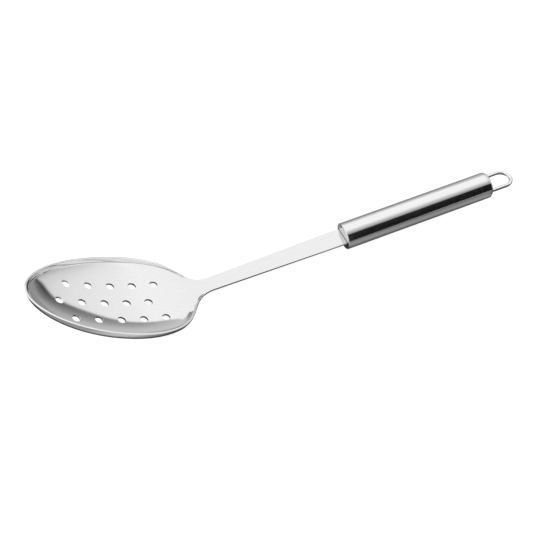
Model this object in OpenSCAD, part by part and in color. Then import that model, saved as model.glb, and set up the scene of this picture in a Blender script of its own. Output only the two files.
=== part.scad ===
// Perforated serving spoon in stainless steel. One stamped sheet makes the bowl, the neck
// and the flat shank, whose tang is let into a round tube handle. A cap closes each end of
// the tube, the front one let in flush, and a bent wire loop for hanging passes through the rear one.
// Millimetres and degrees. +X runs from the bowl's tip to the loop, and the spoon is drawn
// as it lies on a table, on the bowl's underside and the front edge of the handle.

/* [Handle] */
// Outside diameter of the handle
handle_dia = 18; // [15:0.5:24]
// Length of the handle with its rear cap
handle_len = 106.5; // [80:0.5:140]
// Wall of the handle tube
handle_wall = 0.8; // [0.5:0.1:1.2]
// Edge radius of the tube's front end
front_edge_r = 0.6; // [0.3:0.05:0.8]

/* [Caps] */
// Length of the front cap, which lies inside the tube
front_cap_len = 5.5; // [3:0.5:8]
// Edge radius of the front cap, which leaves a fine groove inside the tube's end
front_cap_edge_r = 0.4; // [0.1:0.05:0.5]
// How deep the shank's shoulders sit in the front cap
seat_depth = 1.2; // [0.5:0.1:2]
// Gap round the shank where it enters the front cap
seat_gap = 0.6; // [0.2:0.05:0.6]
// Thickness of the rear cap's disc
rear_cap_t = 2.5; // [2:0.1:4]
// Edge radius of the rear cap
rear_edge_r = 1.5; // [0.5:0.1:1.8]
// Length of the rear cap's spigot inside the tube
spigot_len = 4; // [3:0.5:8]

/* [Sheet and shank] */
// Thickness of the stamped sheet
sheet_t = 1.5; // [1.2:0.1:2]
// Radius that breaks the edges of the sheet
sheet_edge_r = 0.3; // [0.1:0.05:0.4]
// Distance from the handle's surface in to each side of the shank
shank_inset = 2.1; // [1.8:0.1:3]
// Width of the shank at its waist, next to the neck
waist_w = 10.5; // [8:0.5:12.5]
// Length of the shank from the front cap to the waist
shank_len = 91.5; // [60:0.5:130]
// Length of the tang inside the handle
tang_len = 28; // [12:1:50]
// Step in from each side of the shank to the tang
tang_step = 0.9; // [0.5:0.1:1.5]

/* [Bowl] */
// Inside width of the bowl across the rim
bowl_w = 62.4; // [50:0.2:76]
// Length from the widest place to the inside of the tip
tip_reach = 62.4; // [50:0.2:76]
// Length from the widest place back to where the bowl begins
shoulder_reach = 44.8; // [36:0.2:56]
// Length of the neck between the waist and the bowl
neck_len = 9.3; // [6:0.1:16]
// Depth of the floor below the rim
bowl_depth = 8.3; // [5:0.1:14]
// How far the deepest place lies beyond the widest one
deepest_offset = 11.6; // [4:0.2:20]
// How far before the bowl's beginning its floor starts to sink
floor_lead = 3.2; // [1:0.1:6]
// Rounding where the neck runs down into the floor
floor_fillet = 1.2; // [0.5:0.1:2.5]
// Angle between the shank and the rim, just past the neck
bowl_angle = 27.8; // [10:0.2:40]
// Radius of that bend
bend_r = 16; // [10:1:30]
// How far past the bowl's beginning the bend starts
bend_lag = 6; // [2:0.5:10]
// Radius of the gentle upward sweep of the rim
rim_sweep_r = 770; // [400:10:1500]

/* [Perforations] */
// Diameter of each hole
hole_dia = 5; // [3:0.1:6]
// Distance between holes along a row
hole_pitch = 14; // [10:0.5:16]
// Distance between rows
row_gap = 14; // [10:0.5:16]
// Holes in a row
holes_per_row = 5; // [1:1:5]
// Rows across the bowl
hole_rows = 3; // [1:2:3]
// Distance from the bowl's beginning to the first hole
first_hole_at = 23.4; // [18:0.2:30]

/* [Hanging loop] */
// Diameter of the wire
wire_dia = 2.5; // [2:0.1:2.6]
// Distance from the handle's surface in to the middle of each leg
leg_inset = 2.5; // [2.4:0.1:4.5]
// Straight length of each leg outside the rear cap
leg_len = 11.1; // [6:0.1:25]
// How far the head that locks each leg inside the cap stands out round the wire
head_rim = 0.35; // [0.2:0.05:0.4]
// Thickness of that head
head_t = 1.2; // [0.8:0.1:2]

/* [Fits] */
// Clearance on each side of a piece that is let into another
fit_gap = 0.05; // [0.02:0.01:0.1]

/* [Hidden] */

// One overrun for every cut, and the step over which a slope is measured
overrun = 1;
slope_step = 0.1;

// Powers of the curves: 2 is an ellipse's, and a lower wall_power gives a steeper wall
shoulder_power = 2.15;
tip_power = 1.92;
neck_floor_power = 2.4;
tip_floor_power = 2;
flat_power = 2;
wall_power = 0.45;
// Share of the shoulder's reach at which the neck's curve joins the bowl's outline
join_share = 0.57;
// Shares of the neck's length over which its curve leaves the waist and meets the bowl
pull_shares = [0.55, 0.55];

// Numbers of steps in the sheet, along and across
shank_steps = 4;
neck_steps = 16;
shoulder_steps = 12;
tip_steps = 26;
across_steps = 28;
// Number of places on the sheet's edge that round each of its corners
corner_places = 2;
// Power that draws the steps across together towards the rim
crowding_power = 1.4;
// Fineness, in degrees, to which a place on a face is found
search_angle = 0.00001;

handle_r = handle_dia / 2;
bore_r = handle_r - handle_wall;
plug_r = bore_r - fit_gap;
tube_len = handle_len - rear_cap_t;
shank_w = handle_dia - 2 * shank_inset;
tang_w = shank_w - 2 * tang_step;
leg_gap = handle_dia - 2 * leg_inset;
hole_depth = bowl_depth + sheet_t + overrun;

// Stations along the sheet, measured from the front cap's face towards the tip
bowl_start = shank_len + neck_len;
widest_at = bowl_start + shoulder_reach;
join_at = widest_at - join_share * shoulder_reach;
tip_at = widest_at + tip_reach;
deepest_at = widest_at + deepest_offset;
floor_start = bowl_start - floor_lead;
bend_start = bowl_start + bend_lag;
bend_end = bend_start + bend_r * bowl_angle * PI / 180;

// Place and slope [x, z, angle] after running u along an arc of radius r from such a place
function along_arc(from, r, u) =
    let (a = from[2] + u / r * 180 / PI)
    [from[0] - r * (sin(a) - sin(from[2])), from[1] + r * (cos(from[2]) - cos(a)), a];

// Place and slope of the rim line at station s: straight, then bent up, then swept up gently
function rim_line(s) =
    let (bend_foot = [-bend_start, sheet_t / 2, 0])
    s <= bend_start ? [-s, sheet_t / 2, 0] :
    s <= bend_end ? along_arc(bend_foot, bend_r, s - bend_start) :
    along_arc(along_arc(bend_foot, bend_r, bend_end - bend_start), rim_sweep_r, s - bend_end);

// A point at station s, y across, and n above the rim line
function sheet_point(s, y, n) =
    let (p = rim_line(s))
    [p[0] + n * sin(p[2]), y, p[1] + n * cos(p[2])];

// Half width of the bowl at station s; grow is 0 on the inside and the sheet on the outside
function outline(s, grow) =
    let (reach = s <= widest_at ? shoulder_reach : tip_reach)
    let (power = s <= widest_at ? shoulder_power : tip_power)
    let (run_share = min(abs(s - widest_at) / (reach + grow), 1))
    (bowl_w / 2 + grow) * pow(1 - pow(run_share, power), 1 / power);

// A value that turns from nothing to v through a rounded corner of size c
function eased(v, c) = v < -c ? 0 : v > c ? v : (v + c) * (v + c) / (4 * c);

// Depth of the floor's middle below the rim on the neck's side
function neck_floor(s) =
    let (left_share = (deepest_at - s) / (deepest_at - floor_start))
    let (steep = bowl_depth * neck_floor_power * (1 - left_share))
    eased(left_share > 1 ? steep : bowl_depth * (1 - pow(left_share, neck_floor_power)), floor_fillet);

// Depth of the floor's middle on the tip's side
function tip_floor(s, grow) =
    let (run_share = min((s - deepest_at) / (tip_at - deepest_at + grow), 1))
    (bowl_depth + grow) * sqrt(1 - pow(run_share, tip_floor_power));

function floor_depth(s, grow) = s <= deepest_at ? neck_floor(s) + grow : tip_floor(s, grow);

// Point at share u of a cubic curve through four control points
function bezier(p, u) =
    pow(1 - u, 3) * p[0] + 3 * pow(1 - u, 2) * u * p[1] + 3 * (1 - u) * u * u * p[2] + pow(u, 3) * p[3];

// Control points [station, half width] of the neck, level at the waist and tangent to the bowl
function neck_curve(grow) =
    let (w = outline(join_at, grow))
    let (slope = (outline(join_at + slope_step, grow) - outline(join_at - slope_step, grow)) / (2 * slope_step))
    let (run = join_at - shank_len)
    [[shank_len, waist_w / 2], [shank_len + pull_shares[0] * run, waist_w / 2],
     [join_at - pull_shares[1] * run, w - slope * pull_shares[1] * run], [join_at, w]];

// Rows of the loft: [station, half width, depth, share of the wall that is formed, power across]
function tang_rows() = [[-tang_len, shank_w / 2, 0, 0, flat_power]];

function shank_rows() = [
    for (i = [0 : shank_steps - 1])
        let (u = i / shank_steps)
        [u * shank_len, (shank_w + (waist_w - shank_w) * u) / 2, 0, 0, flat_power]];

function neck_rows(grow) = [
    for (i = [0 : neck_steps - 1])
        let (u = i / neck_steps, p = bezier(neck_curve(grow), u), formed = u * u * (3 - 2 * u))
        [p[0], p[1], neck_floor(p[0]) + grow * formed, formed, flat_power + (wall_power - flat_power) * formed]];

function shoulder_rows(grow) = [
    for (i = [0 : shoulder_steps - 1])
        let (s = join_at + (widest_at - join_at) * i / shoulder_steps)
        [s, outline(s, grow), floor_depth(s, grow), 1, wall_power]];

function tip_rows(grow) = [
    for (i = [0 : tip_steps - 1])
        let (a = 90 * i / tip_steps)
        let (s = widest_at + (tip_reach + grow) * pow(sin(a), 2 / tip_power))
        [s, (bowl_w / 2 + grow) * pow(cos(a), 2 / tip_power), floor_depth(s, grow), 1, wall_power]];

function sheet_rows(grow) =
    concat(tang_rows(), shank_rows(), neck_rows(grow), shoulder_rows(grow), tip_rows(grow));

// Share of the half width at step j across, crowded towards -1 at the near rim and 1 at the far one
function across_share(j) =
    let (even_share = 2 * j / across_steps - 1)
    sign(even_share) * (1 - pow(1 - abs(even_share), crowding_power));

// Place [station, across, height] on a face at a row, a degrees from the sheet's middle line
function face_place(row, grow, a) =
    [row[0], row[1] * sin(a), -grow * (1 - row[3]) - row[2] * pow(cos(a), row[4])];

// Angle at which a face is the edge radius away from its rim, found by halving the range
function edge_angle(row, grow, low = 0, high = 90) =
    let (middle = (low + high) / 2)
    high - low < search_angle ? middle :
    norm(face_place(row, grow, 90) - face_place(row, grow, middle)) > sheet_edge_r ?
        edge_angle(row, grow, middle, high) : edge_angle(row, grow, low, middle);

// Places across a face, from near the one rim to near the other
function face_places(row, grow) =
    let (a = edge_angle(row, grow))
    [for (j = [0 : across_steps]) face_place(row, grow, a * across_share(j))];

// Places over the sheet's edge, two at each corner, from the end of one face round the corners c and d
function edge_places(from, c, d, to) =
    let (inset = (d - c) * sheet_edge_r / norm(d - c))
    [(from + 3 * c + inset) / 4, c + inset, d - inset, (to + 3 * d - inset) / 4];

// One loop round the sheet: the inner face, the far edge, the outer face and the near edge
function loop_places(row_in, row_out) =
    let (inner = face_places(row_in, 0))
    let (outer = face_places(row_out, sheet_t))
    concat(
        inner,
        edge_places(inner[across_steps], face_place(row_in, 0, 90),
                    face_place(row_out, sheet_t, 90), outer[across_steps]),
        [for (j = [across_steps : -1 : 0]) outer[j]],
        edge_places(outer[0], face_place(row_out, sheet_t, -90),
                    face_place(row_in, 0, -90), inner[0]));

// The last loop, at the tip, shrinks to the places where the middle line crosses the edge
tip_inner = [tip_at, 0, 0];
tip_outer = [tip_at + sheet_t, 0, 0];
wall_top = [0, 0, -sheet_edge_r];
tip_places = concat(
    [tip_inner + wall_top],
    edge_places(tip_inner + wall_top, tip_inner, tip_outer, tip_outer + wall_top),
    [tip_outer + wall_top]);

inner_rows = sheet_rows(0);
outer_rows = sheet_rows(sheet_t);
sheet_points = [
    for (places = concat([for (i = [0 : len(inner_rows) - 1]) loop_places(inner_rows[i], outer_rows[i])],
                         [tip_places]), p = places)
        sheet_point(p[0], p[1], p[2])];

// The lie on the table: a line under the handle's front edge that just touches the underside
edge_centre = [front_edge_r, front_edge_r - handle_r];
lie_angle = min([
    for (p = sheet_points)
        let (run = edge_centre[0] - p[0], rise = p[2] - edge_centre[1])
        if (run > bend_start) atan2(rise, run) + asin(front_edge_r / norm([run, rise]))]);
lift = handle_r * cos(lie_angle) - front_edge_r * (cos(lie_angle) + sin(lie_angle) - 1);
tip_end = min([for (p = sheet_points) p[0] * cos(lie_angle) - p[2] * sin(lie_angle)]);
loop_end = (handle_len + leg_len + leg_gap / 2) * cos(lie_angle) + wire_dia / 2;

module as_it_lies() {
    translate([-(tip_end + loop_end) / 2, 0, lift]) rotate([0, -lie_angle, 0]) children();
}

// Turns a piece that is built up from z = 0 to lie along the handle
module along_handle() {
    rotate([0, 90, 0]) children();
}

// The loft through the sheet's loops, closed at the tang's end and drawn together at the tip
module sheet() {
    rows = len(inner_rows);
    wide = len(loop_places(inner_rows[0], outer_rows[0]));
    tip_start = rows * wide;
    last = tip_start - wide;
    loop = [0 : wide - 1];
    spans = [0 : rows - 2];
    after = [for (j = loop) (j + 1) % wide];
    // Across the tang's end each place j looks at place under - j, from the middle of the near edge on
    under = wide - 2 * corner_places - 1;
    ends = [-corner_places : across_steps + corner_places - 1];
    // The place at the tip to which each place of the last loop is drawn
    drawn_to = [for (j = loop) max(0, min(j - across_steps, len(tip_places) - 1, wide - j))];
    polyhedron(
        points = sheet_points,
        faces = concat(
            [for (j = ends) [(j + wide) % wide, (j + 1 + wide) % wide, under - j - 1]],
            [for (j = ends) [(j + wide) % wide, under - j - 1, under - j]],
            [for (i = spans, j = loop) let (k = i * wide) [k + j, k + wide + j, k + after[j]]],
            [for (i = spans, j = loop) let (k = i * wide) [k + after[j], k + wide + j, k + wide + after[j]]],
            [for (j = loop) [last + j, tip_start + drawn_to[j], last + after[j]]],
            [for (j = loop) if (drawn_to[j] != drawn_to[after[j]])
                [last + after[j], tip_start + drawn_to[j], tip_start + drawn_to[after[j]]]]));
}

// One hole, square to the floor at station s
module perforation(s, y) {
    across_share = min(abs(y) / outline(s, 0), 1);
    height = pow(1 - across_share * across_share, wall_power / 2);
    centre = sheet_point(s, y, -floor_depth(s, 0) * height);
    fall = (floor_depth(s + slope_step, 0) - floor_depth(s - slope_step, 0)) / (2 * slope_step);
    translate(centre)
        rotate([0, rim_line(s)[2] - atan(fall * height), 0])
            cylinder(h = 2 * hole_depth, d = hole_dia, center = true, $fn = 48);
}

module perforations() {
    for (row = [0 : hole_rows - 1], k = [0 : holes_per_row - 1])
        perforation(bowl_start + first_hole_at + (k + (row % 2) / 2) * hole_pitch,
                    (row - (hole_rows - 1) / 2) * row_gap);
}

// Cuts the sheet back to the tang's width, leaving shoulders that sit in the front cap
module tang_sides() {
    for (side = [-1, 1])
        translate([seat_depth, side * (tang_w + shank_w) / 2 - shank_w / 2, -sheet_t])
            cube([tang_len - seat_depth + overrun, shank_w, 2 * sheet_t]);
}

module blade() {
    color("silver") as_it_lies() difference() {
        sheet();
        tang_sides();
        perforations();
    }
}

// A disc from z = 0 up to h, with its lower edge rounded
module rounded_disc(r, h, edge_r) {
    rotate_extrude($fn = 96) {
        square([r - edge_r, h]);
        translate([0, edge_r]) square([r, h - edge_r]);
        translate([r - edge_r, edge_r]) circle(r = edge_r, $fn = 48);
    }
}

// A straight cut along the handle, centred on it, w across and h high
module flat_slot(w, h, from, to) {
    translate([from, -w / 2, -h / 2]) cube([to - from, w, h]);
}

module handle_tube() {
    color("gainsboro") as_it_lies() along_handle() difference() {
        rounded_disc(handle_r, tube_len, front_edge_r);
        translate([0, 0, -overrun]) cylinder(h = tube_len + 2 * overrun, r = bore_r, $fn = 96);
    }
}

module front_cap() {
    color("lightgray") as_it_lies() difference() {
        along_handle() rounded_disc(plug_r, front_cap_len, front_cap_edge_r);
        flat_slot(shank_w + 2 * seat_gap, sheet_t + 2 * seat_gap, -overrun, seat_depth);
        flat_slot(tang_w + 2 * fit_gap, sheet_t + 2 * fit_gap, -overrun, front_cap_len + overrun);
    }
}

module rear_cap() {
    inside_len = rear_cap_t + spigot_len;
    color("lightgray") as_it_lies() translate([handle_len, 0, 0]) mirror([1, 0, 0]) along_handle()
        difference() {
            union() {
                rounded_disc(handle_r, rear_cap_t, rear_edge_r);
                cylinder(h = inside_len, r = plug_r, $fn = 96);
            }
            for (side = [-1, 1])
                translate([0, side * leg_gap / 2, -overrun])
                    cylinder(h = inside_len + 2 * overrun, d = wire_dia + 2 * fit_gap, $fn = 48);
        }
}

module hanging_loop() {
    inner_face = handle_len - rear_cap_t - spigot_len;
    leg_start = inner_face - head_t;
    bow_at = handle_len + leg_len;
    color("silver") as_it_lies() union() {
        for (side = [-1, 1])
            translate([leg_start, side * leg_gap / 2, 0]) along_handle() {
                cylinder(h = bow_at - leg_start, d = wire_dia, $fn = 48);
                cylinder(h = head_t, r = wire_dia / 2 + head_rim, $fn = 48);
            }
        translate([bow_at, 0, 0]) rotate([0, 0, -90])
            rotate_extrude(angle = 180, $fn = 96)
                translate([leg_gap / 2, 0]) circle(d = wire_dia, $fn = 48);
    }
}

blade();
handle_tube();
front_cap();
rear_cap();
hanging_loop();
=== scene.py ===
"""Looks of the perforated serving spoon: satin steel on a white table, in soft studio light."""
import math

import bmesh
import bpy
import numpy as np
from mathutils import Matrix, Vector
from mathutils.bvhtree import BVHTree


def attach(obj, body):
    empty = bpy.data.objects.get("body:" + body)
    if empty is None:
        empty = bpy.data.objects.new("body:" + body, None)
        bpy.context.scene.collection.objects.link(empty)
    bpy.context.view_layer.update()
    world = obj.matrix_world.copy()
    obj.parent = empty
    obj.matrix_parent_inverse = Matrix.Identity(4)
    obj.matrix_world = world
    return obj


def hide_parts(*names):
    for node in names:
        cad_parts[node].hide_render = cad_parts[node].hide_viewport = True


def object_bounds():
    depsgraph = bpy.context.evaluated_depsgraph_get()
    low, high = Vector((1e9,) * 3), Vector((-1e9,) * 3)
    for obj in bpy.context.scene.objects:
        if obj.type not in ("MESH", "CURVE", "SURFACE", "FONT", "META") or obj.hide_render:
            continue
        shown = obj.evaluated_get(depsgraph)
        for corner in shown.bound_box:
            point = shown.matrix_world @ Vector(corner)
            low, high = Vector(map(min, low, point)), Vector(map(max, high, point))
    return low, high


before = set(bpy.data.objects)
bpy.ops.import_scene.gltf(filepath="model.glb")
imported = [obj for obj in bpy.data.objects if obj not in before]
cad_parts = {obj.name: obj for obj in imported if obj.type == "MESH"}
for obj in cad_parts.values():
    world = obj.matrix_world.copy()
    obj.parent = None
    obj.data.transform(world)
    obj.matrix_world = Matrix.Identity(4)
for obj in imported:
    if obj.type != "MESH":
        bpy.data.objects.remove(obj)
cad_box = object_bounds()
MM = 0.001

# The camera, from the photograph
camera = bpy.data.objects.new("camera", bpy.data.cameras.new("camera"))
camera.data.sensor_width = 36.0
camera.data.lens = 54.03
camera.data.clip_start = 0.01
camera.location = (-0.12444, -0.31647, 0.39555)
camera.rotation_euler = [math.radians(v) for v in (40.4086, 2.4554, -21.5331)]
bpy.context.scene.collection.objects.link(camera)
bpy.context.scene.camera = camera

# Sizes in millimetres, as in the model's source
HANDLE_DIA, HANDLE_LEN = 18.0, 106.5
EDGE_R, SHEET_T = 0.6, 1.5
SHANK_W, WAIST_W, SHANK_LEN = 13.8, 10.5, 91.5
TANG_LEN, TANG_W, SEAT_DEPTH = 28.0, 12.0, 1.2
BOWL_W, TIP_REACH, SHOULDER_REACH, NECK_LEN = 62.4, 62.4, 44.8, 9.3
DEPTH, DEEPEST_OFFSET, FLOOR_LEAD, FILLET = 8.3, 11.6, 3.2, 1.2
TURN, BEND_R, BEND_LAG, SWEEP_R = math.radians(27.8), 16.0, 6.0, 770.0
HOLE_DIA, PITCH, ROW_GAP, FIRST_HOLE = 5.0, 14.0, 14.0, 23.4
HOLE_ROWS, HOLES_PER_ROW = 3, 5
WIRE_DIA, LEG_INSET, LEG_LEN = 2.5, 2.5, 11.1
# The powers of its curves, the shares at which the neck's curve joins the bowl's outline and is
# pulled along its ends, and the step over which a slope is measured
P_SHOULDER, P_TIP, P_NECK_FLOOR, P_WALL, P_FLAT = 2.15, 1.92, 2.4, 0.45, 2.0
JOIN, PULL, SLOPE_STEP = 0.57, 0.55, 0.1

# Roundings of the shank's edges, the bowl's rim and the holes
EDGE_ROUND, RIM_ROUND, HOLE_ROUND = 0.30, 0.65, 0.14
# Distance between the sheet's two loops at the shoulders of the tang, and the half width under
# which a section has none
SHOULDER_GAP, NO_WIDTH = 0.01, 1e-6
# Points across each face, and how strongly they crowd towards the rims; the same for the fine
# points that a section's length is measured on; and the largest share of it that a rounding takes
ACROSS, CROWDING = 105, 1.5
FINE_POINTS, FINE_CROWDING = 1601, 2.2
ROUND_SHARE = 0.25
# A drill's step outside the sheet, how far it reaches, and the points round it and on its edges
DRILL_FLARE, DRILL_REACH, DRILL_SIDES, DRILL_STEPS = 0.5, 4.0, 56, 5
# Metres within which points are one, in the sheet and in the drills; the least distance that
# weighs a corner; the angle beyond which an edge is sharp; and how alike two directions are on
# the same face
SHEET_WELD, DRILL_WELD, NEAREST = 2e-6, 1e-7, 1e-7
SHARP_ANGLE, SAME_WAY = math.radians(35), 0.98

bowl_start = SHANK_LEN + NECK_LEN
widest_at = bowl_start + SHOULDER_REACH
join_at = widest_at - JOIN * SHOULDER_REACH
tip_at = widest_at + TIP_REACH
deepest_at = widest_at + DEEPEST_OFFSET
floor_start = bowl_start - FLOOR_LEAD
bend_start = bowl_start + BEND_LAG
bend_end = bend_start + BEND_R * TURN


def along_arc(start, r, u):
    """Place and slope after a run u from start along an arc of radius r."""
    a = start[2] + u / r
    return (start[0] - r * (np.sin(a) - np.sin(start[2])),
            start[1] + r * (np.cos(start[2]) - np.cos(a)), a)


def rim_line(s):
    """Place and slope of the rim line at stations s: straight, bent up, then swept up gently."""
    s = np.asarray(s, float)
    foot = (-bend_start, SHEET_T / 2, 0.0)
    bend = along_arc(foot, BEND_R, np.clip(s, bend_start, bend_end) - bend_start)
    bend_top = along_arc(foot, BEND_R, bend_end - bend_start)
    sweep = along_arc(bend_top, SWEEP_R, np.maximum(s - bend_end, 0))
    flat = (-s, s * 0 + SHEET_T / 2, s * 0)
    return [np.where(s <= bend_start, f, np.where(s <= bend_end, b, w))
            for f, b, w in zip(flat, bend, sweep)]


def sheet_point(s, y, n):
    """The point y to the side of the rim line at station s and n square to it, upwards."""
    x, z, a = rim_line(s)
    return np.stack(np.broadcast_arrays(x + n * np.sin(a), y, z + n * np.cos(a)), -1)


def outline(s, grow):
    """Half the bowl's width at station s, of its inside grown by grow."""
    reach, power = (SHOULDER_REACH, P_SHOULDER) if s <= widest_at else (TIP_REACH, P_TIP)
    run = min(abs(s - widest_at) / (reach + grow), 1)
    return (BOWL_W / 2 + grow) * (1 - run ** power) ** (1 / power)


def neck_floor(s):
    """Depth of the floor up to its deepest place, with a fillet where it leaves the neck."""
    left = (deepest_at - s) / (deepest_at - floor_start)
    v = DEPTH * P_NECK_FLOOR * (1 - left) if left > 1 else DEPTH * (1 - left ** P_NECK_FLOOR)
    return 0.0 if v < -FILLET else v if v > FILLET else (v + FILLET) ** 2 / (4 * FILLET)


def floor_depth(s, grow):
    if s <= deepest_at:
        return neck_floor(s) + grow
    run = min((s - deepest_at) / (tip_at - deepest_at + grow), 1)
    return (DEPTH + grow) * math.sqrt(1 - run * run)


def sheet_rows(grow, n_shank=14, n_neck=44, n_shoulder=36, n_tip=72):
    """[station, half width, depth, share of the wall that is formed, power across] along it."""
    rows = [(-TANG_LEN, TANG_W / 2, 0, 0, P_FLAT),
            (-SEAT_DEPTH - SHOULDER_GAP, TANG_W / 2, 0, 0, P_FLAT),
            (-SEAT_DEPTH, SHANK_W / 2, 0, 0, P_FLAT)]
    for i in range(n_shank):
        u = i / n_shank
        rows.append((u * SHANK_LEN, (SHANK_W + (WAIST_W - SHANK_W) * u) / 2, 0, 0, P_FLAT))
    w, e, pull = outline(join_at, grow), SLOPE_STEP, PULL * (join_at - SHANK_LEN)
    slope = (outline(join_at + e, grow) - outline(join_at - e, grow)) / (2 * e)
    ctrl = np.array([[SHANK_LEN, WAIST_W / 2], [SHANK_LEN + pull, WAIST_W / 2],
                     [join_at - pull, w - slope * pull], [join_at, w]])
    for i in range(n_neck):
        u = i / n_neck
        p = ((1 - u) ** 3 * ctrl[0] + 3 * (1 - u) ** 2 * u * ctrl[1]
             + 3 * (1 - u) * u * u * ctrl[2] + u ** 3 * ctrl[3])
        formed = u * u * (3 - 2 * u)
        rows.append((p[0], p[1], neck_floor(p[0]) + grow * formed, formed,
                     P_FLAT + (P_WALL - P_FLAT) * formed))
    for i in range(n_shoulder):
        s = join_at + (widest_at - join_at) * i / n_shoulder
        rows.append((s, outline(s, grow), floor_depth(s, grow), 1, P_WALL))
    for i in range(n_tip + 1):
        a = math.pi / 2 * i / n_tip
        s = widest_at + (TIP_REACH + grow) * math.sin(a) ** (2 / P_TIP)
        half = (BOWL_W / 2 + grow) * max(math.cos(a), 0) ** (2 / P_TIP)
        rows.append((s, half, floor_depth(s, grow), 1, P_WALL))
    return rows


def crowded(count, power):
    """Numbers from -1 to 1 that lie closer together towards both ends."""
    t = np.linspace(-1, 1, count)
    return np.sign(t) * (1 - (1 - np.abs(t)) ** power)


def section(row, grow, shares, edge):
    """Points (s, y, n) across one face at shares of its arc length, ending at edge from each rim,
    and the two corners at its rims."""
    s, w, depth, formed, power = row
    a = crowded(FINE_POINTS, FINE_CROWDING) * math.pi / 2
    y = w * np.sin(a)
    n = -grow * (1 - formed) - depth * np.clip(np.cos(a), 0, 1) ** power
    arc = np.concatenate([[0], np.cumsum(np.hypot(np.diff(y), np.diff(n)))])
    edge = min(edge, ROUND_SHARE * arc[-1])
    at = edge + (arc[-1] - 2 * edge) * shares
    face = np.stack([np.full_like(at, s), np.interp(at, arc, y), np.interp(at, arc, n)], -1)
    return face, (np.array([s, -w, n[0]]), np.array([s, w, n[-1]]))


def rounded(p, corner, q, steps=6):
    """Points of a small curve from p to q, tangent to both sides of the corner."""
    u = np.linspace(0, 1, steps + 1)[1:-1, None]
    return (1 - u) ** 2 * p + 2 * u * (1 - u) * corner + u * u * q


def rim_turn(p, a, b, q, round_by):
    """The edge of the sheet from face to face, over its two rounded corners a and b."""
    side = (b - a) / np.linalg.norm(b - a) * round_by
    return np.concatenate([rounded(p, a, a + side), [a + side, b - side],
                           rounded(b - side, b, q)])


def at_rounding(face, grow):
    """The tip's last points, brought back and down the wall to where the rounded edge ends."""
    left = math.sqrt(1 - (RIM_ROUND / (DEPTH + grow)) ** 2)
    return face - [(tip_at - deepest_at + grow) * (1 - left), 0, RIM_ROUND]


def sheet_mesh():
    """Loops round the sheet from the tang to the tip, where the last one has no width."""
    shares = (1 + crowded(ACROSS, CROWDING)) / 2
    loops = []
    for row_in, row_out in zip(sheet_rows(0.0), sheet_rows(SHEET_T)):
        _, width, depth, formed, _ = row_in
        at_tip = width < NO_WIDTH
        if formed == 1 and depth < RIM_ROUND and not at_tip:
            continue
        round_by = EDGE_ROUND + (RIM_ROUND - EDGE_ROUND) * formed
        face_in, (near_in, far_in) = section(row_in, 0.0, shares, round_by)
        face_out, (near_out, far_out) = section(row_out, SHEET_T, shares, round_by)
        if at_tip:
            face_in, face_out = at_rounding(face_in, 0.0), at_rounding(face_out, SHEET_T)
        far = rim_turn(face_in[-1], far_in, far_out, face_out[-1], round_by)
        near = rim_turn(face_out[0], near_out, near_in, face_in[0], round_by)
        loops.append(np.concatenate([face_in, far, face_out[::-1], near]))
    grid = np.array(loops)
    verts = sheet_point(grid[..., 0], grid[..., 1], grid[..., 2])
    rows, wide = grid.shape[:2]
    faces = [(i * wide + j, i * wide + (j + 1) % wide,
              (i + 1) * wide + (j + 1) % wide, (i + 1) * wide + j)
             for i in range(rows - 1) for j in range(wide)]
    faces.append(tuple(range(wide))[::-1])
    return verts.reshape(-1, 3), faces


def lie():
    """The tilt at which the spoon lies on a table, on its bowl and the handle's front edge."""
    pts = np.concatenate([sheet_point(s, 0.0, np.array([-SHEET_T * (1 - formed) - depth]))
                          for s, _, depth, formed, _ in sheet_rows(SHEET_T) if s > bend_start])
    cx, cz = EDGE_R, EDGE_R - HANDLE_DIA / 2
    run, rise = cx - pts[:, 0], pts[:, 2] - cz
    return float(np.min(np.arctan2(rise, run) + np.arcsin(EDGE_R / np.hypot(run, rise))))


tilt = lie()
lift = HANDLE_DIA / 2 * math.cos(tilt) - EDGE_R * (math.cos(tilt) + math.sin(tilt) - 1)
# The loop reaches the model's end in +X, which gives the shift along X
loop_end = (HANDLE_LEN + LEG_LEN + HANDLE_DIA / 2 - LEG_INSET) * math.cos(tilt) + WIRE_DIA / 2
shift_x = cad_box[1][0] - loop_end * MM


def placed(v):
    """Handle frame in millimetres to the row frame in metres."""
    v = np.asarray(v, float)
    x = v[..., 0] * math.cos(tilt) - v[..., 2] * math.sin(tilt)
    z = v[..., 0] * math.sin(tilt) + v[..., 2] * math.cos(tilt) + lift
    return np.stack([x, v[..., 1], z], -1) * MM + np.array([shift_x, 0, 0])


def new_object(name, verts, faces):
    mesh = bpy.data.meshes.new(name)
    mesh.from_pydata([tuple(v) for v in verts], [], faces)
    mesh.validate()
    ob = bpy.data.objects.new(name, mesh)
    bpy.context.scene.collection.objects.link(ob)
    return ob


def welded(ob, dist):
    """Joins the points that coincide and turns all faces outwards."""
    bm = bmesh.new()
    bm.from_mesh(ob.data)
    bmesh.ops.remove_doubles(bm, verts=bm.verts, dist=dist)
    bmesh.ops.recalc_face_normals(bm, faces=bm.faces)
    bm.to_mesh(ob.data)
    bm.free()


def drill_profile():
    """(radius, height) up a drill, with a small round at each face of the sheet."""
    r, c, t = HOLE_DIA / 2, HOLE_ROUND, SHEET_T
    arc = [(r + c - c * math.cos(a), -c + c * math.sin(a))
           for a in np.linspace(0, math.pi / 2, DRILL_STEPS)]
    wide = r + c + DRILL_FLARE
    top = arc + [(wide, DRILL_FLARE), (wide, DRILL_REACH)]
    low = [(p, -t - q) for p, q in arc] + [(wide, -t - DRILL_FLARE), (wide, -t - DRILL_REACH)]
    return low[::-1] + top


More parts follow.
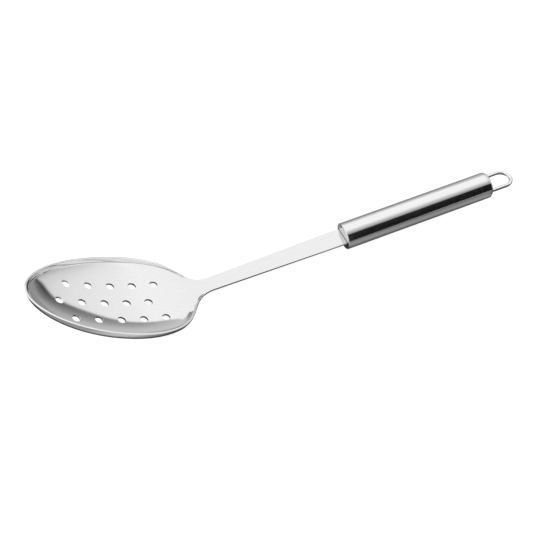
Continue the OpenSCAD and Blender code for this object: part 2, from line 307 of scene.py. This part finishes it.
def hole_place(row, place):
    """The centre of a hole on the bowl's floor, and the slope of the drill's axis there."""
    y = (row - (HOLE_ROWS - 1) / 2) * ROW_GAP
    s = bowl_start + FIRST_HOLE + (place + (row % 2) / 2) * PITCH
    share = (1 - min(abs(y) / outline(s, 0), 1) ** 2) ** (P_WALL / 2)
    fall = (floor_depth(s + SLOPE_STEP, 0) - floor_depth(s - SLOPE_STEP, 0)) / (2 * SLOPE_STEP)
    slope = float(rim_line(s)[2]) - math.atan(fall * share)
    return sheet_point(s, y, -floor_depth(s, 0) * share), slope


def drill_mesh():
    """All the drills in one mesh, each square to the floor along the spoon."""
    profile, around = drill_profile(), DRILL_SIDES
    verts, faces = [], []
    for row in range(HOLE_ROWS):
        for place in range(HOLES_PER_ROW):
            centre, a = hole_place(row, place)
            axis = np.array([math.sin(a), 0, math.cos(a)])
            side = np.array([math.cos(a), 0, -math.sin(a)])
            base = len(verts)
            for rad, up in profile:
                for m in range(around):
                    b = 2 * math.pi * m / around
                    across = np.array([0, rad * math.sin(b), 0])
                    verts.append(centre + axis * up + side * rad * math.cos(b) + across)
            for p in range(len(profile) - 1):
                for m in range(around):
                    a0, a1 = base + p * around + m, base + p * around + (m + 1) % around
                    faces.append((a0, a1, a1 + around, a0 + around))
            last = base + (len(profile) - 1) * around
            faces.append(tuple(base + m for m in range(around))[::-1])
            faces.append(tuple(last + m for m in range(around)))
    return np.array(verts), faces


def take_normals(mesh, uncut):
    """Gives the faces the uncut sheet's normals, since the triangles round the holes are thin."""
    tree = BVHTree.FromObject(uncut, bpy.context.evaluated_depsgraph_get())
    uncut_mesh = uncut.data
    vert_normals = [Vector(v.normal) for v in uncut_mesh.vertices]
    normals = [Vector(n.vector) for n in mesh.corner_normals]
    for poly in mesh.polygons:
        for loop in poly.loop_indices:
            co = mesh.vertices[mesh.loops[loop].vertex_index].co
            hit, face_normal, index, dist = tree.find_nearest(co)
            if dist > SHEET_WELD or face_normal.dot(poly.normal) < SAME_WAY:
                continue
            corners = uncut_mesh.polygons[index].vertices
            weights = [1 / ((uncut_mesh.vertices[c].co - hit).length + NEAREST) for c in corners]
            total = sum((vert_normals[c] * w for c, w in zip(corners, weights)), Vector())
            normals[loop] = total.normalized()
    mesh.normals_split_custom_set(normals)


def make_blade():
    """The stamped sheet with its holes cut, in finer steps than the solid that it stands for."""
    verts, faces = sheet_mesh()
    whole = new_object("blade_steel_sheet", placed(verts), faces)
    welded(whole, SHEET_WELD)
    verts, faces = drill_mesh()
    drills = new_object("drills", placed(verts), faces)
    welded(drills, DRILL_WELD)
    cut = whole.modifiers.new("holes", "BOOLEAN")
    cut.operation, cut.solver, cut.object = "DIFFERENCE", "EXACT", drills
    depsgraph = bpy.context.evaluated_depsgraph_get()
    mesh = bpy.data.meshes.new_from_object(whole.evaluated_get(depsgraph))
    whole.modifiers.clear()
    bpy.data.objects.remove(drills)
    mesh.polygons.foreach_set("use_smooth", [True] * len(mesh.polygons))
    mesh.set_sharp_from_angle(angle=SHARP_ANGLE)
    take_normals(mesh, whole)
    whole.data = mesh
    return whole


def linked(nt, kind, wiring, **settings):
    """A new node, its settings made and its sockets set to a value or linked to an output."""
    made = nt.nodes.new(kind)
    for key, value in settings.items():
        setattr(made, key, value)
    for key, value in wiring.items():
        if isinstance(value, bpy.types.NodeSocket):
            nt.links.new(value, made.inputs[key])
        else:
            made.inputs[key].default_value = value
    return made


def spread(nt, value, low, high, curve="LINEAR", to=(0.0, 1.0)):
    """A value brought to to[0] at low and to[1] at high, and held there beyond them."""
    made = linked(nt, "ShaderNodeMapRange",
                  {"Value": value, "From Min": low, "From Max": high,
                   "To Min": to[0], "To Max": to[1]}, interpolation_type=curve)
    return made.outputs["Result"]


def ramp(nt, value, stops):
    """A number that follows value through (place, number) stops."""
    low, high = stops[0][0], stops[-1][0]
    curve = linked(nt, "ShaderNodeFloatCurve", {"Value": spread(nt, value, low, high)})
    points = curve.mapping.curves[0].points
    while len(points) < len(stops):
        points.new(0.5, 0.5)
    for point, (place, number) in zip(points, stops):
        point.location = ((place - low) / (high - low), number)
        point.handle_type = "VECTOR"
    curve.mapping.use_clip = False
    curve.mapping.update()
    return curve.outputs["Value"]


def maths(nt, operation, *values):
    """One step of arithmetic on numbers and outputs."""
    return linked(nt, "ShaderNodeMath", dict(enumerate(values)), operation=operation).outputs[0]


def mixed(nt, factor, a, b):
    """The number a where factor is 0, and b where it is 1."""
    return maths(nt, "MULTIPLY_ADD", factor, maths(nt, "SUBTRACT", b, a), a)


def object_place(nt):
    """The point's own place on its object, in metres."""
    return linked(nt, "ShaderNodeTexCoord", {}).outputs["Object"]


# The steel's grinding lines and the clouding in its gloss: detail and roughness of the lines,
# scale and detail of the clouds, the part of both noises that is used, how far the lines move the
# tone and, as a share, the clouds the roughness, and how deep the lines are, in metres
LINES_DETAIL, LINES_ROUGHNESS = 6.0, 0.65
CLOUDS_SCALE, CLOUDS_DETAIL = 38.0, 3.0
NOISE_FROM, NOISE_TO = 0.3, 0.7
TONE_STEP, GLOSS_SHARE, LINES_DEPTH = 0.025, 0.15, 0.00002
# Where the painted shade in the recess starts and is at its darkest, in metres inward from the
# handle's front end
RECESS = (0.00004, 0.0003)


def painted_recess_shade(nt, coord, recess_shade):
    """Painted shade: 1 outside the handle and recess_shade in the recess of its front end."""
    axis, front = (math.cos(tilt), 0.0, math.sin(tilt)), placed((0.0, 0.0, 0.0))
    place = linked(nt, "ShaderNodeVectorMath", {0: coord, 1: axis}, operation="DOT_PRODUCT")
    inward = maths(nt, "SUBTRACT", place.outputs["Value"], float(np.dot(axis, front)))
    return mixed(nt, spread(nt, inward, *RECESS), 1.0, recess_shade)


def steel(name, tone, rough, grain, stretch, bump, recess_shade=1.0):
    """Satin steel: fine grinding lines drawn out along one direction, and clouding in the gloss.
    Its tone is multiplied by painted shade in the recess of the handle's front end."""
    mat = bpy.data.materials.new(name)
    mat.use_nodes = True
    nt = mat.node_tree
    coord = object_place(nt)
    drawn_out = linked(nt, "ShaderNodeMapping", {"Vector": coord, "Scale": stretch})
    lines = linked(nt, "ShaderNodeTexNoise",
                   {"Vector": drawn_out.outputs["Vector"], "Scale": grain,
                    "Detail": LINES_DETAIL, "Roughness": LINES_ROUGHNESS}).outputs["Fac"]
    clouds = linked(nt, "ShaderNodeTexNoise",
                    {"Vector": coord, "Scale": CLOUDS_SCALE,
                     "Detail": CLOUDS_DETAIL}).outputs["Fac"]
    tint = spread(nt, lines, NOISE_FROM, NOISE_TO, to=(tone - TONE_STEP, tone + TONE_STEP))
    colour = maths(nt, "MULTIPLY", tint, painted_recess_shade(nt, coord, recess_shade))
    gloss = spread(nt, clouds, NOISE_FROM, NOISE_TO,
                   to=(rough * (1 - GLOSS_SHARE), rough * (1 + GLOSS_SHARE)))
    raised = linked(nt, "ShaderNodeBump",
                    {"Strength": bump, "Distance": LINES_DEPTH, "Height": lines})
    bsdf = nt.nodes["Principled BSDF"]
    bsdf.inputs["Metallic"].default_value = 1.0
    nt.links.new(colour, bsdf.inputs["Base Color"])
    nt.links.new(gloss, bsdf.inputs["Roughness"])
    nt.links.new(raised.outputs["Normal"], bsdf.inputs["Normal"])
    return mat


blade_steel = steel("blade_satin_steel", 0.82, 0.055, 900.0, (0.12, 1.0, 1.0), 0.08)
handle_steel = steel("handle_satin_steel", 0.85, 0.13, 1100.0, (0.06, 1.0, 1.0), 0.2)
# The front cap's recess is darkened by painted shade
front_steel = steel("front_cap_steel", 0.64, 0.16, 900.0, (1.0, 1.0, 1.0), 0.2, recess_shade=0.2)
rear_steel = steel("rear_cap_steel", 0.70, 0.14, 900.0, (1.0, 1.0, 1.0), 0.2)
wire_steel = steel("wire_bright_steel", 0.86, 0.07, 900.0, (0.3, 1.0, 1.0), 0.15)


def dress(ob, mat):
    ob.data.materials.clear()
    ob.data.materials.append(mat)


blade = make_blade()
dress(blade, blade_steel)
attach(blade, "root")
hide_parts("blade")
dress(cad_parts["handle_tube"], handle_steel)
dress(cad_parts["front_cap"], front_steel)
dress(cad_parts["rear_cap"], rear_steel)
dress(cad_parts["hanging_loop"], wire_steel)


# Painted shade and light on the floor, which only the steel shows, as (metres, tone): in front of
# the spoon, along a slanting line, and behind it, from the tip's end to the handle's; the painted
# shadow under the bowl; and across below the handle and the loop, with painted shadow under them
PAINTED_FLOOR_FRONT = [(-0.34, 0.25), (-0.21, 0.35), (-0.185, 0.55), (-0.15, 0.75), (-0.125, 1.0)]
PAINTED_FLOOR_BEHIND = [(-0.14, 0.95), (-0.08, 0.40), (-0.05, 0.27), (0.10, 0.25), (0.40, 0.45)]
PAINTED_SHADOW_UNDER_BOWL = [(-0.056, 1.0), (-0.050, 0.85), (-0.046, 0.50), (-0.042, 0.30), (-0.037, 0.06),
               (-0.030, 0.02), (0.030, 0.08), (0.060, 1.0)]
PAINTED_FLOOR_HANDLE = [(-0.300, 0.7), (-0.110, 1.0), (-0.080, 0.14), (-0.060, 0.13), (-0.032, 0.24),
                (-0.019, 0.34), (-0.015, 0.32), (-0.0115, 0.22), (-0.008, 0.12),
                (-0.005, 0.05), (0.001, 0.08), (0.006, 0.88), (0.030, 0.80), (0.046, 0.50),
                (0.070, 0.29)]
PAINTED_FLOOR_LOOP = [(-0.300, 0.7), (-0.110, 0.7), (-0.080, 0.14), (-0.034, 0.22), (-0.020, 0.04),
              (0.014, 0.02), (0.030, 0.7), (0.046, 0.40), (0.120, 0.34)]
# How that painted shade and light join up, in metres: how much of Y counts in the slanting line;
# the way in Y from the front to behind; the ways along X from the bowl's tones to the handle's,
# from there to the loop's, and out of the loop's again; and the way along X over which the painted
# shadow under the bowl moves to the back, and by how much
FRONT_SLANT = 0.8
FRONT_TO_BEHIND = (-0.02, 0.05)
BOWL_TO_HANDLE = (0.020, 0.045)
LOOP_FROM, LOOP_TO = (0.148, 0.157), (0.40, 0.28)
SHADE_MOVES, SHADE_MOVE = (-0.10, 0.0), -0.025
# The table's half size in metres, its own tone, and how white it glows to the camera
TABLE_HALF, TABLE_TONE, TABLE_GLOW = 3.0, 0.36, 0.86
# The share of the white background that the steel shows, in the table and in the world: nearly all
# that it shows are the painted shade and light of the floor and the tones of the studio
TABLE_GLOSSY, WORLD_GLOSSY = 0.03, 0.0

# The studio's tones, as (place, tone): the upper light from its near end to its far one; and below
# its lower edge, round the horizon from +X, in degrees: the edge's height and how soft it is, the
# strip just under it, the room farther down, and how much of that is left near the floor
UPPER_LIGHT = [(-1.0, 1.02), (0.2, 1.05), (0.38, 1.06), (0.52, 0.97), (0.60, 0.90), (0.69, 0.80),
               (0.81, 0.70), (0.88, 0.62), (1.0, 0.50)]
EDGE_HEIGHT = [(-20, -0.3), (10, -0.06), (16, 0.01), (20, 0.06), (24, 0.12), (30, 0.18),
               (34, 0.205), (42, 0.22), (46, 0.30), (50, 0.358), (53, 0.438), (56, 0.50),
               (61, 0.54), (66, 0.54), (69, 0.52), (73, 0.53), (77, 0.55), (89, 0.59),
               (98, 0.57), (103, 0.50), (107, 0.40), (110, 0.36), (113, 0.15), (116, -0.2)]
EDGE_SOFT = [(16, 0.07), (30, 0.045), (38, 0.025), (46, 0.012)]
EDGE_STRIP = [(38, 0.06), (44, 0.13), (48, 0.26), (52, 0.36), (56, 0.52), (62, 0.62),
              (70, 0.68), (78, 0.60), (89, 0.32), (110, 0.26)]
ROOM_BELOW = [(38, 0.36), (46, 0.41), (50, 0.50), (56, 0.62), (62, 0.66), (78, 0.66),
              (89, 0.52), (110, 0.27)]
FLOOR_SHARE = [(60, 1.0), (66, 0.45), (76, 0.45), (82, 1.0)]
# How much the upper light's place falls with height; how far below its edge the strip starts to
# turn into the room and has done so; and the same heights for the floor's share
UPPER_LEAN = -0.35
STRIP_TO_ROOM = (-0.03, -0.22)
FLOOR_FROM_TO = (0.27, 0.19)

# A painted reflection, seen only by the steel: the card in front of the handle and the loop, and
# the one that leans back from its top, by their corners; where the card starts along X; its tones
# up to the upper edge, which rises by the slope; and how slanting a ray is that begins to pass
# through, and that passes whole
FLAG = [(0.038, -0.045, 0.0055), (0.400, -0.045, 0.0220),
        (0.400, -0.045, 0.0785), (0.038, -0.045, 0.0620),
        (0.038, -0.045, 0.0620), (0.172, -0.045, 0.0680),
        (0.172, -0.008, 0.0910), (0.038, -0.008, 0.0850)]
FLAG_START = (0.047, 0.038)
FLAG_TONES = [(0.0597, 0.004), (0.0607, 0.36), (0.066, 0.45), (0.075, 0.75), (0.084, 1.0)]
FLAG_SLOPE = 0.0456
FLAG_SLANT = (0.50, 0.60)


def stage_material(ob, name):
    """The empty node tree of a new material on ob."""
    mat = bpy.data.materials.new(name)
    mat.use_nodes = True
    mat.node_tree.nodes.clear()
    ob.data.materials.append(mat)
    return mat.node_tree


def seen_white(nt, glossy_share):
    """How much of the white background a ray is shown: all to the camera, a share in the steel."""
    ray = linked(nt, "ShaderNodeLightPath", {}).outputs
    direct = maths(nt, "MAXIMUM", ray["Is Camera Ray"], ray["Is Transmission Ray"])
    return maths(nt, "MULTIPLY_ADD", ray["Is Glossy Ray"], glossy_share, direct)


def floor_painted_shade(nt, along, back):
    """The grey of the painted shade and light on the floor that the steel shows, by place in
    metres.
    """
    slanting = maths(nt, "MULTIPLY_ADD", back, FRONT_SLANT, along)
    bare = mixed(nt, spread(nt, back, *FRONT_TO_BEHIND), ramp(nt, slanting, PAINTED_FLOOR_FRONT),
                 ramp(nt, along, PAINTED_FLOOR_BEHIND))
    from_middle = maths(nt, "MULTIPLY_ADD", spread(nt, along, *SHADE_MOVES), SHADE_MOVE, back)
    # Painted shadow under the bowl
    by_bowl = maths(nt, "MULTIPLY", bare, ramp(nt, from_middle, PAINTED_SHADOW_UNDER_BOWL))
    by_handle = ramp(nt, back, PAINTED_FLOOR_HANDLE)
    painted_shade_tone = mixed(nt, spread(nt, along, *BOWL_TO_HANDLE, "SMOOTHSTEP"), by_bowl, by_handle)
    by_loop = maths(nt, "MULTIPLY", spread(nt, along, *LOOP_FROM), spread(nt, along, *LOOP_TO))
    return mixed(nt, by_loop, painted_shade_tone, ramp(nt, back, PAINTED_FLOOR_LOOP))


def make_table():
    """White to the camera with the spoon's soft shadow on it; the steel shows it grey, its real
    shading multiplied by painted shade and light.
    """
    size = TABLE_HALF
    table = new_object("table_top", [(-size, -size, 0), (size, -size, 0), (size, size, 0),
                                     (-size, size, 0)], [(0, 1, 2, 3)])
    nt = stage_material(table, "white_table")
    place = linked(nt, "ShaderNodeSeparateXYZ", {0: object_place(nt)})
    painted_shade_tone = floor_painted_shade(nt, place.outputs["X"], place.outputs["Y"])
    ray = linked(nt, "ShaderNodeLightPath", {}).outputs
    # To the steel the table's colour is the painted shade and light, to the camera its own tone
    tone = mixed(nt, ray["Is Glossy Ray"], TABLE_TONE, painted_shade_tone)
    diffuse = linked(nt, "ShaderNodeBsdfDiffuse", {"Color": tone})
    white = maths(nt, "MULTIPLY", seen_white(nt, TABLE_GLOSSY), TABLE_GLOW)
    glow = linked(nt, "ShaderNodeEmission", {"Strength": white})
    both = linked(nt, "ShaderNodeAddShader", {0: diffuse.outputs[0], 1: glow.outputs[0]})
    linked(nt, "ShaderNodeOutputMaterial", {"Surface": both.outputs[0]})


def make_flag():
    """Painted reflection: the bent card in front of the handle, black below and glowing grey
    above, that only the steel shows.
    """
    flag = new_object("painted_reflection_card", FLAG, [(0, 1, 2, 3), (4, 5, 6, 7)])
    nt = stage_material(flag, "painted_reflection_tones")
    place = linked(nt, "ShaderNodeSeparateXYZ", {0: object_place(nt)})
    height = maths(nt, "MULTIPLY_ADD", place.outputs["X"], -FLAG_SLOPE, place.outputs["Z"])
    glow = linked(nt, "ShaderNodeEmission", {"Strength": ramp(nt, height, FLAG_TONES)})
    slant = linked(nt, "ShaderNodeLayerWeight", {"Blend": 0.5}).outputs["Facing"]
    clear = linked(nt, "ShaderNodeBsdfTransparent", {})
    before_start = spread(nt, place.outputs["X"], *FLAG_START)
    gone = maths(nt, "MAXIMUM", spread(nt, slant, *FLAG_SLANT), before_start)
    card = linked(nt, "ShaderNodeMixShader", {0: gone, 1: glow.outputs[0], 2: clear.outputs[0]})
    linked(nt, "ShaderNodeOutputMaterial", {"Surface": card.outputs[0]})
    # Hidden from camera, diffuse and shadow rays, so that the card is only a painted reflection
    flag.visible_camera = False
    flag.visible_diffuse = False
    flag.visible_shadow = False
    flag.visible_transmission = False


def make_world():
    """A studio as a dome: a great soft light overhead that fades towards +X, and below its lower
    edge a dark strip over a greyer room."""
    world = bpy.data.worlds.new("studio")
    bpy.context.scene.world = world
    world.use_nodes = True
    nt = world.node_tree
    nt.nodes.clear()
    way = linked(nt, "ShaderNodeTexCoord", {}).outputs["Generated"]
    x, y, z = linked(nt, "ShaderNodeSeparateXYZ", {0: way}).outputs
    upper = ramp(nt, maths(nt, "MULTIPLY_ADD", z, UPPER_LEAN, x), UPPER_LIGHT)
    turn = maths(nt, "DEGREES", maths(nt, "ARCTAN2", y, x))
    above = maths(nt, "SUBTRACT", z, ramp(nt, turn, EDGE_HEIGHT))
    lower = mixed(nt, spread(nt, above, *STRIP_TO_ROOM), ramp(nt, turn, EDGE_STRIP),
                  ramp(nt, turn, ROOM_BELOW))
    floor_part = mixed(nt, spread(nt, z, *FLOOR_FROM_TO), 1.0, ramp(nt, turn, FLOOR_SHARE))
    lower = maths(nt, "MULTIPLY", lower, floor_part)
    over_edge = maths(nt, "DIVIDE", above, ramp(nt, turn, EDGE_SOFT))
    studio = mixed(nt, spread(nt, over_edge, -1.0, 1.0, "SMOOTHSTEP"), lower, upper)
    white = mixed(nt, seen_white(nt, WORLD_GLOSSY), studio, 1.0)
    back = linked(nt, "ShaderNodeBackground", {"Color": white})
    linked(nt, "ShaderNodeOutputWorld", {"Surface": back.outputs[0]})


make_table()
make_flag()
make_world()
bpy.context.scene.view_settings.view_transform = "Standard"
